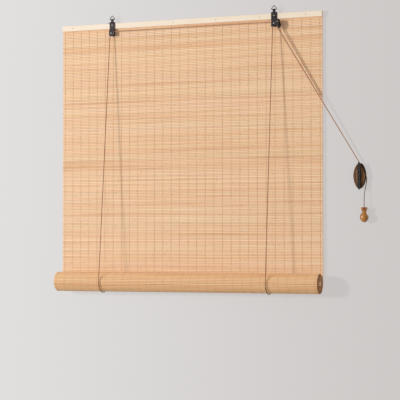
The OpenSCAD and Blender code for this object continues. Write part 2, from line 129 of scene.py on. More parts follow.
class Sock:
    """A shader socket on which sums are written as Python expressions."""

    __add__ = __radd__ = operator("ADD")
    __sub__ = operator("SUBTRACT")
    __rsub__ = operator("SUBTRACT", swapped=True)
    __mul__ = __rmul__ = operator("MULTIPLY")
    __truediv__ = operator("DIVIDE")
    __rtruediv__ = operator("DIVIDE", swapped=True)
    __pow__ = operator("POWER")
    __rpow__ = operator("POWER", swapped=True)
    __abs__ = operator("ABSOLUTE")
    floor = operator("FLOOR")
    fraction = operator("FRACT")
    sine = operator("SINE")

    def __init__(self, bench: "Bench", out: bpy.types.NodeSocket) -> None:
        """Keeps the socket and the bench that made it."""
        self.bench = bench
        self.out = out

    def ramp(self, low: float, high: float) -> "Sock":
        """Smooth step from 0 at low to 1 at high."""
        ends = {0: self, 1: low, 2: high, 3: 0.0, 4: 1.0}
        return self.bench.node("ShaderNodeMapRange", {"interpolation_type": "SMOOTHSTEP"}, ends)


class Bench:
    """Builds the nodes of a material or a world."""

    def __init__(self, owner: Union[Material, bpy.types.World]) -> None:
        """Starts with an empty tree.

        Args:
            owner: The material or world.
        """
        owner.use_nodes = True
        self.tree = owner.node_tree
        self.tree.nodes.clear()

    def node(
        self, kind: str, settings: Optional[dict] = None, sockets: Optional[dict] = None,
        out: Union[int, str] = 0,
    ) -> Sock:
        """Adds one node of any kind.

        Args:
            kind: Blender's name of the node type.
            settings: Properties, set before the sockets; stops are the stops of a ramp.
            sockets: Input values or links, by name or number.
            out: The output that is handed back.

        Returns:
            That output.
        """
        made = self.tree.nodes.new(kind)
        for key, value in (settings or {}).items():
            if key == "stops":
                self._stops(made.color_ramp, value)
            else:
                setattr(made, key, value)
        for key, value in (sockets or {}).items():
            if isinstance(value, Sock):
                self.tree.links.new(value.out, made.inputs[key])
            else:
                made.inputs[key].default_value = value
        return Sock(self, made.outputs[out])

    @staticmethod
    def _stops(ramp: bpy.types.ColorRamp, stops: Sequence[tuple[float, Colour]]) -> None:
        """Sets the stops of a colour ramp.

        Args:
            ramp: The ramp.
            stops: Place and colour of each stop.
        """
        for _ in range(len(stops) - len(ramp.elements)):
            ramp.elements.new(0.5)
        for element, (place, colour) in zip(ramp.elements, stops):
            element.position = place
            element.color = colour

    def split(self, vector: Sock) -> tuple[Sock, Sock, Sock]:
        """Splits a vector.

        Args:
            vector: The vector.

        Returns:
            Its three parts.
        """
        first = self.node("ShaderNodeSeparateXYZ", {}, {0: vector})
        outs = first.out.node.outputs
        return first, Sock(self, outs[1]), Sock(self, outs[2])

    def grain(self) -> Sock:
        """The piece's own map along its fibres."""
        return self.node("ShaderNodeUVMap", {"uv_map": GRAIN})

    def place(self) -> Sock:
        """Object coordinates."""
        return self.node("ShaderNodeTexCoord", {}, {}, "Object")

    def noise(self, vector: Sock, scale: Way, detail: float = 2.0, rough: float = 0.5) -> Sock:
        """Cloudy values about a half.

        Args:
            vector: Where they are read.
            scale: What each part of the vector is multiplied by.
            detail: Number of finer clouds in the clouds.
            rough: Share of the finer clouds.

        Returns:
            The values.
        """
        spot = self.node("ShaderNodeVectorMath", {"operation": "MULTIPLY"}, {0: vector, 1: scale})
        sockets = {"Vector": spot, "Scale": 1.0, "Detail": detail, "Roughness": rough}
        return self.node("ShaderNodeTexNoise", {}, sockets)

    def lot(self, number: Sock) -> Sock:
        """A random value for each whole number."""
        return self.node("ShaderNodeTexWhiteNoise", {"noise_dimensions": "1D"}, {"W": number})

    def tint(self, shade: Sock, stops: Sequence[tuple[float, Colour]]) -> Sock:
        """A colour ramp read at a shade."""
        return self.node("ShaderNodeValToRGB", {"stops": stops}, {0: shade})

    def mix(self, share: Value, first: Union[Sock, Colour], second: Union[Sock, Colour]) -> Sock:
        """Two colours mixed."""
        return self.node("ShaderNodeMix", {"data_type": "RGBA"}, {0: share, 6: first, 7: second}, 2)

    def bump(self, height: Sock, depth: float, strength: float) -> Sock:
        """A bump of that depth in metres."""
        return self.node("ShaderNodeBump", {}, {"Height": height, "Distance": depth, "Strength": strength})

    def end(self, shader: Sock, kind: str = "ShaderNodeOutputMaterial") -> None:
        """Links a shader to the tree's output."""
        out = self.tree.nodes.new(kind)
        self.tree.links.new(shader.out, out.inputs[0])


# Finishes


@dataclass(frozen=True)
class Finish(ABC):
    """A finish, whose material is built once."""

    name: str

    @lru_cache(maxsize=None)
    def material(self) -> Material:
        """Builds the finish.

        Returns:
            The material.
        """
        made = bpy.data.materials.new(self.name)
        b = Bench(made)
        b.end(b.node("ShaderNodeBsdfPrincipled", {}, self.inputs(b)))
        return made

    @abstractmethod
    def inputs(self, b: Bench) -> Inputs:
        """Shader inputs of the finish.

        Args:
            b: Bench of the material.

        Returns:
            Values and links of the Principled shader, by the names of its sockets.
        """


@dataclass(frozen=True)
class ThreeToneFinish(Finish):
    """A finish with three tones."""

    pale: Colour
    mid: Colour
    deep: Colour


@dataclass(frozen=True)
class BambooFinish(ThreeToneFinish):
    """Split bamboo slats: each slat has its own tone, with fibres, joints, and worn edges that carry painted
    shade of the gaps between slats.
    """

    straw: Colour
    dark: Colour = paint(150, 98, 58)
    joint_step: float = 2.9

    def inputs(self, b: Bench) -> Inputs:
        """Tone of each slat, with its streaks, fibres, joints, and worn edges with painted shade.

        Args:
            b: Bench of the material.

        Returns:
            Inputs of the shader.
        """
        map_ = b.grain()
        along, over, _ = b.split(map_)
        row = (over / ROW_STEP).floor()
        across = over / ROW_STEP - row
        edge = abs(across - 0.5) * 4
        tone = b.lot(row)
        fibre = b.noise(map_, (8, 1500, 1))
        streak = b.noise(map_, (1.8, 150, 1), 3.0)
        patch = b.noise(map_, (4, 43, 1), 1.0)
        shade = 0.42 + (tone - 0.5) * 0.34 + (streak - 0.5) * 1.4
        shade = shade + (patch - 0.5) * 0.3 + (fibre - 0.5) * 0.6
        wood = b.tint(shade, [(0.1, self.pale), (0.5, self.mid), (0.95, self.deep)])
        wood = b.mix(b.lot(row + 71).ramp(0.5, 0.9) * 0.45, wood, self.straw)
        joint = abs((along * self.joint_step + tone * 17).fraction() - 0.5)
        mark = 1 - joint.ramp(0.001, 0.006)
        marked = b.mix(mark * 0.3, wood, self.dark)
        # Darker towards both edges of each slat: painted shade of the gaps between slats, mixed with wear of
        # the cut edges.
        worn_and_shaded = b.mix(edge.ramp(0.7, 1.0) * (patch * 0.7), marked, self.dark)
        return {
            "Base Color": worn_and_shaded,
            "Roughness": 0.5 + fibre * 0.22,
            "Normal": b.bump(fibre * 0.6 + streak * 0.5 - mark * 0.5, 0.0004, 0.5),
            "Specular IOR Level": 0.25,
        }


@dataclass(frozen=True)
class ThreadFinish(Finish):
    """Spun binding thread."""

    pale: Colour
    deep: Colour
    ply_lay: float = 0.0011

    def inputs(self, b: Bench) -> Inputs:
        """Plies of the thread, with cloudy tones.

        Args:
            b: Bench of the material.

        Returns:
            Inputs of the shader.
        """
        map_ = b.grain()
        along, around, _ = b.split(map_)
        ply = ((along / self.ply_lay + around) * (2 * math.pi)).sine() * 0.5 + 0.5
        cloud = b.noise(map_, (120, 3, 1))
        shade = ply * 0.5 + cloud * 0.6
        return {
            "Base Color": b.tint(shade, [(0.15, self.deep), (0.8, self.pale)]),
            "Roughness": 0.9,
            "Normal": b.bump(ply, 0.0001, 0.4),
            "Specular IOR Level": 0.2,
        }


@dataclass(frozen=True)
class CordFinish(ThreeToneFinish):
    """Cord laid of three strands, with fuzz, a tone that changes at random from turn to turn, and painted
    shade after the start of a run.
    """

    mottle: float = 0.0
    painted_shade: float = 0.0
    yarn_lay: float = 0.0016
    turn_length: float = 0.134
    painted_shade_reach: float = 0.022

    def inputs(self, b: Bench) -> Inputs:
        """Strands and yarns of the cord, with clouds, fuzz and painted shade after the start of a run.

        Args:
            b: Bench of the material.

        Returns:
            Inputs of the shader.
        """
        map_ = b.grain()
        along, around, _ = b.split(map_)
        strand = abs(((along / CORD_LAY + around) * (CORD_STRANDS * math.pi)).sine())
        yarn = abs(((along / self.yarn_lay - around * 2) * math.pi).sine())
        cloud = b.noise(map_, (28, 1.5, 1), 3.0)
        fuzz = b.noise(map_, (1600, 14, 1))
        turn = b.lot((along / self.turn_length).floor()) - 0.5
        shade = strand * 0.55 + yarn * 0.12 + (cloud - 0.5) * 0.45 + (fuzz - 0.5) * 0.3 + 0.1
        # Painted shade: the tone darkens over the first stretch of a run and stays darker after it.
        shade = shade + turn * self.mottle - along.ramp(0.0, self.painted_shade_reach) * self.painted_shade
        return {
            "Base Color": b.tint(shade, [(0.05, self.deep), (0.45, self.mid), (0.95, self.pale)]),
            "Roughness": 0.72 + fuzz * 0.2,
            "Normal": b.bump(strand * 0.4 + yarn * 0.25 + fuzz * 0.2, 0.0004, 0.6),
            "Specular IOR Level": 0.3,
        }


@dataclass(frozen=True)
class PineFinish(ThreeToneFinish):
    """Planed softwood with grain along X, and darker end grain."""

    def inputs(self, b: Bench) -> Inputs:
        """Growth rings and fibres of the faces, and pores of the ends.

        Args:
            b: Bench of the material.

        Returns:
            Inputs of the shader.
        """
        spot = b.place()
        wander = b.noise(spot, (3, 20, 20))
        _, _, up = b.split(spot)
        ring = (up * 1900 + wander * 26).sine() * 0.5 + 0.5
        fibre = b.noise(spot, (14, 1300, 1300))
        broad = b.noise(spot, (5, 60, 60))
        shade = ring ** 3 * 0.25 + (fibre - 0.5) * 0.5 + (broad - 0.5) * 0.6 + 0.3
        flat = b.tint(shade, [(0.05, self.pale), (0.45, self.mid), (1.0, self.deep)])
        facing, _, _ = b.split(b.node("ShaderNodeNewGeometry", {}, {}, "Normal"))
        end = abs(facing).ramp(0.8, 0.95)
        pores = b.noise(spot, (10, 2600, 2600), 1.0)
        cut = b.mix(0.25 + pores * 0.5, self.mid, self.deep)
        return {
            "Base Color": b.mix(end, flat, cut),
            "Roughness": 0.55 + fibre * 0.2,
            "Normal": b.bump(fibre + ring * 0.3, 0.0003, 0.4),
            "Specular IOR Level": 0.35,
        }


@dataclass(frozen=True)
class TurnedWoodFinish(ThreeToneFinish):
    """Turned and oiled hardwood with upright grain and fine tool rings."""

    tool_step: float = 0.0011

    def inputs(self, b: Bench) -> Inputs:
        """Upright grain, bands and tool rings, under a thin coat of oil.

        Args:
            b: Bench of the material.

        Returns:
            Inputs of the shader.
        """
        spot = b.place()
        _, _, up = b.split(spot)
        wander = b.noise(spot, (60, 60, 12))
        grain = b.noise(spot, (420, 420, 24), 3.0, 0.6)
        band = ((wander * 30).sine() * 0.5 + 0.5) ** 2
        tool = (up * (2 * math.pi / self.tool_step)).sine()
        shade = grain * 0.6 + band * 0.45 - 0.05
        return {
            "Base Color": b.tint(shade, [(0.15, self.pale), (0.5, self.mid), (0.9, self.deep)]),
            "Roughness": 0.3 + grain * 0.18,
            "Normal": b.bump(tool * 0.12 + grain * 0.6, 0.0002, 0.3),
            "Coat Weight": 0.35,
            "Coat Roughness": 0.18,
        }


@dataclass(frozen=True)
class SteelFinish(Finish):
    """Sheet, wire or rivet steel, with worn and dusty patches."""

    deep: Colour
    pale: Colour
    rough: float
    metal: float = 1.0

    def inputs(self, b: Bench) -> Inputs:
        """Clouds, fine grain and scratches of the metal.

        Args:
            b: Bench of the material.

        Returns:
            Inputs of the shader.
        """
        spot = b.place()
        cloud = b.noise(spot, (140, 140, 140), 3.0)
        fine = b.noise(spot, (2600, 2600, 2600))
        scratch = b.noise(spot, (300, 300, 3200)).ramp(0.62, 0.75)
        shade = (cloud - 0.3) * 1.3 + scratch * 0.35
        return {
            "Base Color": b.tint(shade, [(0.1, self.deep), (0.95, self.pale)]),
            "Metallic": self.metal,
            "Roughness": self.rough + cloud * 0.16 + fine * 0.06,
            "Normal": b.bump(fine + scratch * 0.4, 0.00008, 0.4),
        }


@dataclass(frozen=True)
class PlasticFinish(Finish):
    """Moulded plastic with a fine spark grain and rubbed patches."""

    deep: Colour
    pale: Colour
    rough: float

    def inputs(self, b: Bench) -> Inputs:
        """Spark grain and rubbed patches of the plastic.

        Args:
            b: Bench of the material.

        Returns:
            Inputs of the shader.
        """
        spot = b.place()
        spark = b.noise(spot, (3000, 3000, 3000), 1.0)
        rub = b.noise(spot, (90, 90, 90), 3.0)
        return {
            "Base Color": b.tint(rub, [(0.3, self.deep), (0.8, self.pale)]),
            "Roughness": self.rough + rub * 0.16,
            "Normal": b.bump(spark, 0.00006, 0.4),
        }


class Finishes:
    """The finishes of the blind."""

    bamboo_front = BambooFinish(
        "bamboo_front", paint(255, 223, 188), paint(248, 204, 162), paint(214, 157, 110), paint(246, 214, 168)
    )
    bamboo_back = BambooFinish(
        "bamboo_back", paint(252, 213, 168), paint(245, 194, 144), paint(212, 150, 100), paint(244, 206, 152)
    )
    # Dark tones on the cut ends of the slats: painted shade on the roll's ends, over the ends' own colour.
    bamboo_end_painted_shade = BambooFinish(
        "bamboo_end_painted_shade", paint(178, 126, 82), paint(140, 92, 54), paint(92, 56, 30), paint(150, 104, 60)
    )
    slat = (bamboo_front, bamboo_back, bamboo_end_painted_shade)  # by the number on a slat's faces
    thread = ThreadFinish("binding_thread", paint(240, 195, 149), paint(205, 151, 106))
    cord = CordFinish("brown_cord", paint(184, 134, 106), paint(150, 98, 74), paint(96, 57, 41))
    # The loop under the roll takes a darker deep tone and painted shade along it, for the shade under the
    # roll.
    loop_cord = CordFinish(
        "loop_cord", paint(184, 134, 106), paint(150, 98, 74), paint(72, 41, 28), painted_shade=0.42
    )
    pull_cord = CordFinish("pull_cord", paint(220, 176, 150), paint(192, 148, 122), paint(140, 98, 76))
    # Much darker tones than the pull cord that is wound here: painted shade of the winding, with a tone that
    # changes at random from turn to turn.
    wound_cord = CordFinish(
        "wound_cord", paint(172, 126, 90), paint(88, 56, 37), paint(24, 14, 9), mottle=1.1
    )
    tail_cord = CordFinish("tail_cord", paint(150, 128, 112), paint(104, 84, 72), paint(56, 42, 36))
    pine = PineFinish("planed_pine", paint(252, 242, 226), paint(249, 234, 213), paint(232, 204, 172))
    bar_wood = PineFinish("bar_wood", paint(246, 220, 184), paint(236, 204, 162), paint(204, 160, 112))
    dark_steel = SteelFinish("blackened_steel", paint(38, 34, 36), paint(84, 77, 80), 0.36, 0.85)
    bright_steel = SteelFinish("bright_steel", paint(130, 126, 122), paint(190, 186, 180), 0.32)
    nail_steel = SteelFinish("nail_steel", paint(120, 108, 98), paint(176, 164, 150), 0.4)
    nylon = PlasticFinish("wheel_nylon", paint(206, 202, 194), paint(232, 228, 220), 0.42)
    black = PlasticFinish("black_plastic", paint(7, 6, 6), paint(17, 15, 15), 0.38)
    acorn = TurnedWoodFinish("acorn_wood", paint(208, 146, 66), paint(152, 86, 28), paint(66, 27, 6))


# Making of pieces


def put(name: str, data: bpy.types.ID) -> Piece:
    """Puts an object into the scene.

    Args:
        name: Its name.
        data: Its mesh, lamp or camera.

    Returns:
        The object.
    """
    made = bpy.data.objects.new(name, data)
    bpy.context.scene.collection.objects.link(made)
    return made


def finish_piece(
    name: str, mesh: Mesh, finishes: Sequence[Finish], body: Body, stands_for: Iterable[str] = ()
) -> Piece:
    """Makes a finished piece of a mesh that is already in its place.

    Args:
        name: Name of the piece.
        mesh: Its mesh, in the frame of the blind.
        finishes: Its finishes, in the order of its faces' numbers.
        body: The body that carries it.
        stands_for: The CAD nodes that it replaces.

    Returns:
        The object.
    """
    mesh.name = name
    piece = put(name, mesh)
    for finish in finishes:
        mesh.materials.append(finish.material())
    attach(piece, body.value)
    names = tuple(stands_for)
    if names:
        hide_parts(*names)
    LOG.info("%s: %d faces", name, len(mesh.polygons))
    return piece


def dress_node(name: str, finish: Finish) -> None:
    """Gives a CAD node its finish.

    Args:
        name: The node.
        finish: The finish.
    """
    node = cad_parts[name]
    node.data.materials.clear()
    node.data.materials.append(finish.material())
    LOG.info("%s: dressed", name)


def from_bmesh(shape: Shape, sharp: float) -> Mesh:
    """Turns a bmesh into a mesh with smooth faces and sharp edges.

    Args:
        shape: The bmesh, which is freed.
        sharp: Edges that turn more than this many degrees stay sharp.

    Returns:
        The mesh.
    """
    mesh = bpy.data.meshes.new("shape")
    shape.to_mesh(mesh)
    shape.free()
    mesh.polygons.foreach_set("use_smooth", [True] * len(mesh.polygons))
    mesh.set_sharp_from_angle(angle=math.radians(sharp))
    return mesh


def round_edges(
    shape: Shape, edges: Sequence[bmesh.types.BMEdge], offset: float, segments: int, clamp: bool = False
) -> None:
    """Bevels edges to a round profile.

    Args:
        shape: The bmesh.
        edges: Its edges that are bevelled.
        offset: Width of the bevel on each face.
        segments: Number of faces across it.
        clamp: Whether bevels are held back where they would overlap.
    """
    bmesh.ops.bevel(
        shape, geom=edges, offset=offset, offset_type="OFFSET", affect="EDGES",
        segments=segments, profile=0.5, material=-1, clamp_overlap=clamp,
    )


def add_copy(shape: Shape, mesh: Mesh) -> tuple[list, list]:
    """Adds a mesh to a bmesh.

    Args:
        shape: The bmesh.
        mesh: The mesh.

    Returns:
        The new points and the new faces.
    """
    verts, faces = len(shape.verts), len(shape.faces)
    shape.from_mesh(mesh)
    shape.verts.ensure_lookup_table()
    shape.faces.ensure_lookup_table()
    return shape.verts[verts:], shape.faces[faces:]


def shift_map(shape: Shape, faces: Iterable[bmesh.types.BMFace], along: float, over: float) -> None:
    """Moves the map of some faces.

    Args:
        shape: The bmesh.
        faces: The faces.
        along: Metres along the fibres.
        over: Step across them.
    """
    layer = shape.loops.layers.uv[GRAIN]
    for face in faces:
        for corner in face.loops:
            corner[layer].uv += Vector((along, over))


def even_steps(path: Line, step: float) -> list[Vector]:
    """Puts points at even steps on a line of points, keeping the given ones.

    Args:
        path: The line.
        step: The longest step.

    Returns:
        The finer line.
    """
    fine = [path[0]]
    for a, b in zip(path, path[1:]):
        count = max(1, math.ceil((b - a).length / step))
        fine.extend(a.lerp(b, k / count) for k in range(1, count + 1))
    return fine


def smooth_line(points: Line, per_span: int) -> list[Vector]:
    """A smooth line through points.

    Args:
        points: The points that it passes.
        per_span: Steps from one point to the next.

    Returns:
        The line.
    """
    line: list[Vector] = []
    ends = [2 * points[0] - points[1], *points, 2 * points[-1] - points[-2]]
    for a, b, c, d in zip(ends, ends[1:], ends[2:], ends[3:]):
        for k in range(per_span):
            t = k / per_span
            bend = (2 * a - 5 * b + 4 * c - d) * t * t + (3 * b - a - 3 * c + d) * t ** 3
            line.append(0.5 * (2 * b + (c - a) * t + bend))
    line.append(points[-1].copy())
    return line


def arc_xz(centre: Spot, radius: float, y: float, start: float, stop: float, steps: int) -> list[Vector]:
    """Points of an arc in X and Z at depth y, given in millimetres and degrees."""
    angles = [math.radians(start + (stop - start) * k / steps) for k in range(steps + 1)]
    return [mm(centre[0] + radius * math.cos(a), y, centre[1] + radius * math.sin(a)) for a in angles]


def touch_angle(point: Spot, centre: Spot, radius: float, sign: int) -> float:
    """Angle at which a line from a point outside touches a circle, in degrees."""
    across, up = point[0] - centre[0], point[1] - centre[1]
    return math.degrees(math.atan2(up, across) + sign * math.acos(radius / math.hypot(across, up)))


@dataclass
class Strand:
    """A round strand along a line of points; with a lay, its outline shows the strands laid together."""

    path: Line
    radius: float
    sides: int = 12
    lay: float = 0.0
    groove: float = 0.2
    steps_per_lay: int = 8

    def mesh(self) -> Mesh:
        """Builds the strand's tube.

        Returns:
            A closed tube whose map has metres along it and turns around it.
        """
        points = even_steps(self.path, self.lay / self.steps_per_lay) if self.lay else list(self.path)
        line = bpy.data.curves.new("strand", "CURVE")
        line.dimensions = "3D"
        line.bevel_depth = self.radius
        line.bevel_resolution = self.sides // 2 - 2
        line.use_fill_caps = True
        spline = line.splines.new("POLY")
        spline.points.add(len(points) - 1)
        for point, place in zip(spline.points, points):
            point.co = (*place, 1.0)
        holder = bpy.data.objects.new("strand", line)
        mesh = bpy.data.meshes.new_from_object(holder)
        bpy.data.objects.remove(holder)
        bpy.data.curves.remove(line)
        far = [0.0]
        for a, b in zip(points, points[1:]):
            far.append(far[-1] + (b - a).length)
        rings = [far[-1], far[0], *far]
        if self.lay:
            self._twist(mesh, [points[-1], points[0], *points], rings)
        self._map(mesh, rings)
        mesh.polygons.foreach_set("use_smooth", [len(p.vertices) == 4 for p in mesh.polygons])
        return mesh

    def _twist(self, mesh: Mesh, centres: Line, far: Sequence[float]) -> None:
        """Sinks the grooves between the laid strands.

        Args:
            mesh: The tube, in which both caps come before the rings.
            centres: Middle of each cap and ring.
            far: Metres along to each cap and ring.
        """
        for vert in mesh.vertices:
            ring, spot = divmod(vert.index, self.sides)
            crown = abs(math.sin(CORD_STRANDS * math.pi * (far[ring] / self.lay + spot / self.sides)))
            vert.co = centres[ring].lerp(vert.co, 1 - self.groove * (1 - crown))

    def _map(self, mesh: Mesh, far: Sequence[float]) -> None:
        """Writes metres along and turns around the tube to its map.

        Args:
            mesh: The tube, in which both caps come before the rings.
            far: Metres along to each cap and ring.
        """
        layer = mesh.uv_layers.get(GRAIN) or mesh.uv_layers.new(name=GRAIN)
        n = self.sides
        for face in mesh.polygons:
            spots = [v % n for v in face.vertices]
            wraps = len(spots) == 4 and 0 in spots and n - 1 in spots
            for corner, vert in zip(face.loop_indices, face.vertices):
                turn = 1.0 if wraps and vert % n == 0 else vert % n / n
                layer.data[corner].uv = (far[vert // n], turn)


@dataclass
class RoundedNode:
    """A CAD node's solid with its edges rounded, as stamped, bent or moulded ones are."""

    node: str
    radius: float
    segments: int = 2
    flat: float = 1.5
    crease: float = 40.0

    def build(self, finish: Finish, slot: Slot) -> None:
        """Copies the node's solid, rounds its edges and stands it in the node's place.

        Args:
            finish: Its finish.
            slot: Not used.
        """
        shape = bmesh.new()
        shape.from_mesh(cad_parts[self.node].data)
        bmesh.ops.remove_doubles(shape, verts=shape.verts, dist=1e-6)
        bmesh.ops.dissolve_limit(
            shape, angle_limit=math.radians(self.flat), use_dissolve_boundaries=False,
            verts=shape.verts, edges=shape.edges, delimit=set(),
        )
        least = math.radians(self.crease)
        creases = [e for e in shape.edges if e.is_manifold and e.calc_face_angle(0.0) > least]
        round_edges(shape, creases, self.radius, self.segments, clamp=True)
        bmesh.ops.triangulate(shape, faces=[f for f in shape.faces if len(f.verts) > 4])
        shape.normal_update()
        ways = [
            sum((f.normal * f.calc_area() for f in v.link_faces), Vector()).normalized() for v in shape.verts
        ]
        mesh = from_bmesh(shape, sharp=180.0)
        mesh.normals_split_custom_set_from_vertices(ways)
        finish_piece(self.node + "_rounded", mesh, [finish], Body.FRAME, [self.node])


# Mat and roll


@dataclass(frozen=True)
class SlatStock:
    """The split slats that the mat is made of."""

    length: float = 0.9
    pitch: float = 0.005
    height: float = 0.0045
    thick: float = 0.0018
    edge: float = 0.00035
    cuts: int = 6

    def blank(self) -> Mesh:
        """Builds one plain slat about the origin, with its front towards -Y.

        Returns:
            A mesh with cut edges, stations along its length and a map along its fibres.
        """
        shape = bmesh.new()
        layer = shape.loops.layers.uv.new(GRAIN)
        bmesh.ops.create_cube(shape, size=1.0)
        bmesh.ops.scale(shape, vec=(self.length, self.thick, self.height), verts=shape.verts)
        round_edges(shape, self._long(shape), self.edge, segments=1)
        bmesh.ops.subdivide_edges(shape, edges=self._long(shape), cuts=self.cuts, use_grid_fill=True)
        for face in shape.faces:
            face.normal_update()
            face.material_index = 2 if abs(face.normal.x) > 0.5 else int(face.normal.y > 0.5)
            for corner in face.loops:
                place = corner.vert.co
                corner[layer].uv = (place.x, ROW_STEP * (0.5 + 0.5 * place.z / self.height))
        mesh = bpy.data.meshes.new("slat")
        shape.to_mesh(mesh)
        shape.free()
        return mesh

    @staticmethod
    def _long(shape: Shape) -> list[bmesh.types.BMEdge]:
        """The edges that run along the slat."""
        return [e for e in shape.edges if abs((e.verts[1].co - e.verts[0].co).normalized().x) > 0.9]


@dataclass
class SlatRun:
    """Many slats in one mesh, each a little different."""

    stock: SlatStock
    chance: random.Random
    shape: Shape = field(default_factory=bmesh.new)
    rows: int = 0
    uneven: float = 0.04
    tall: Spot = (0.9, 1.07)
    deep: Spot = (0.92, 1.02)
    tilt: float = 2.2
    map_reach: float = 30.0

    def add(self, blank: Mesh, place: Matrix, wander: float, end_play: float) -> None:
        """Adds one slat.

        Args:
            blank: The plain slat.
            place: Where its middle goes and how it is turned.
            wander: How far its stations leave the straight line.
            end_play: How far its ends stand out or back.
        """
        verts, faces = add_copy(self.shape, blank)
        chance, stock = self.chance, self.stock
        tall = min(self.tall[1], max(self.tall[0], chance.gauss(1.0, self.uneven)))
        deep = chance.uniform(*self.deep)
        stretch = 1.0 + chance.uniform(-end_play, end_play) / stock.length
        shift = chance.uniform(-end_play, end_play) * 0.5
        stations = [chance.uniform(-wander, wander) for _ in range(stock.cuts + 2)]
        turn = Matrix.Rotation(math.radians(chance.uniform(-self.tilt, self.tilt)), 4, "X")
        for vert in verts:
            x, y, z = vert.co
            station = round((x + stock.length / 2) / stock.length * (stock.cuts + 1))
            vert.co = place @ (turn @ Vector((x * stretch + shift, y * deep, z * tall + stations[station])))
        shift_map(self.shape, faces, chance.uniform(0.0, self.map_reach), ROW_STEP * self.rows)
        self.rows += 1


@dataclass(frozen=True)
class TwinedColumns:
    """Columns of two threads that are twined round every slat, one in front and one behind."""

    count: int = 31
    margin: float = 0.008
    width: float = 0.9
    wide: float = 0.00058
    thin: float = 0.0003
    clear: float = 0.0002
    inset: float = 0.0003
    lean: float = 0.0003
    cross: float = 0.0004
    map_step: float = 1.37

    def spread(self, line: Line) -> Mesh:
        """Repeats one thread over all columns.

        Args:
            line: The thread's line at X = 0.

        Returns:
            One mesh of all columns.
        """
        flat = self.wide / self.thin
        squeezed = [Vector((p.x / flat, p.y, p.z)) for p in line]
        one = Strand(squeezed, self.thin, sides=4).mesh()
        one.transform(Matrix.Diagonal((flat, 1.0, 1.0, 1.0)))
        shape = bmesh.new()
        gap = (self.width - 2 * self.margin) / (self.count - 1)
        for k in range(self.count):
            verts, faces = add_copy(shape, one)
            away = Vector((-self.width / 2 + self.margin + k * gap, 0.0, 0.0))
            bmesh.ops.translate(shape, vec=away, verts=verts)
            shift_map(shape, faces, k * self.map_step, 0.0)
        bpy.data.meshes.remove(one)
        return from_bmesh(shape, sharp=75.0)


@dataclass
class MatPart(ABC):
    """A part of the mat: its slats, and the two threads of each column."""

    seed: int
    slats: int
    threaded: int
    wander: float
    end_play: float
    stock: SlatStock = SlatStock()
    columns: TwinedColumns = TwinedColumns()

    def _slats(self, name: str, places: Iterable[Matrix], body: Body, node: str) -> Piece:
        """Builds the slats.

        Args:
            name: Name of the piece.
            places: Where each slat goes.
            body: The body that carries them.
            node: The CAD node that they stand for.

        Returns:
            All slats in one piece.
        """
        run = SlatRun(self.stock, random.Random(self.seed))
        blank = self.stock.blank()
        for place in places:
            run.add(blank, place, self.wander, self.end_play)
        bpy.data.meshes.remove(blank)
        mesh = from_bmesh(run.shape, sharp=25.0)
        return finish_piece(name, mesh, Finishes.slat, body, [node])

    def _twine(self, name: str, body: Body, nodes: Iterable[str] = ()) -> list[Piece]:
        """Builds both threads of each column.

        Args:
            name: What their names start with.
            body: The body that carries them.
            nodes: The CAD nodes that the first stands for.

        Returns:
            The two pieces.
        """
        pieces = []
        for end, side, stands_for in (("over", 1, nodes), ("under", -1, ())):
            mesh = self.columns.spread(self._thread(side))
            pieces.append(
                finish_piece(f"{name}_{end}", mesh, [Finishes.thread], body, stands_for)
            )
        return pieces

    def _thread(self, side: int) -> list[Vector]:
        """Line of one thread: before one slat, behind the next, and crossed in the gaps.

        Args:
            side: 1 for the thread that starts behind, -1 for the other.

        Returns:
            The line at X = 0.
        """
        twine = self.columns
        out = self.stock.thick / 2 + twine.clear
        half = self.stock.height / 2 - twine.inset
        line = []
        for k in range(self.threaded):
            way = side * (1 if k % 2 else -1)
            for part in (-1, 1):
                lean = Vector((part * twine.lean * way, 0.0, 0.0))
                line.append(self._spot(k, part * half, way * out) + lean)
            line.append(self._spot(k, self._step() / 2, 0.0) + Vector((twine.cross * side, 0.0, 0.0)))
        return line

    @abstractmethod
    def _step(self) -> float:
        """Length of mat from one slat to the next."""

    @abstractmethod
    def _spot(self, number: int, along: float, out: float) -> Vector:
        """A point beside the middle of a slat.

        Args:
            number: The slat.
            along: How far the point is moved along the mat.
            out: How far it is moved towards the mat's outer face.

        Returns:
            The point at X = 0.
        """


@dataclass
class SlatMat(MatPart):
    """The flat part of the mat, from the headrail down to the roll."""

    seed: int = 11
    slats: int = 168
    threaded: int = 164
    wander: float = 0.00022
    end_play: float = 0.0008
    top: float = 0.008
    foot: float = -0.833
    middle: float = -0.0069

    def _step(self) -> float:
        """Height from one slat to the next."""
        return (self.top - self.foot) / self.slats

    def _spot(self, number: int, along: float, out: float) -> Vector:
        """A point beside the middle of a slat, moved up and forwards."""
        return Vector((0.0, self.middle - out, self.foot + (number + 0.5) * self._step() + along))

    def build(self) -> None:
        """Builds the slats and threads, each piece with its own mesh."""
        places = [Matrix.Translation(self._spot(k, 0.0, 0.0)) for k in range(self.slats)]
        pieces = [self._slats("mat_slats", places, Body.FRAME, "mat_flat")]
        pieces += self._twine("thread", Body.FRAME, ["mat_threads"])
        for piece in pieces:
            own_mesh(piece)


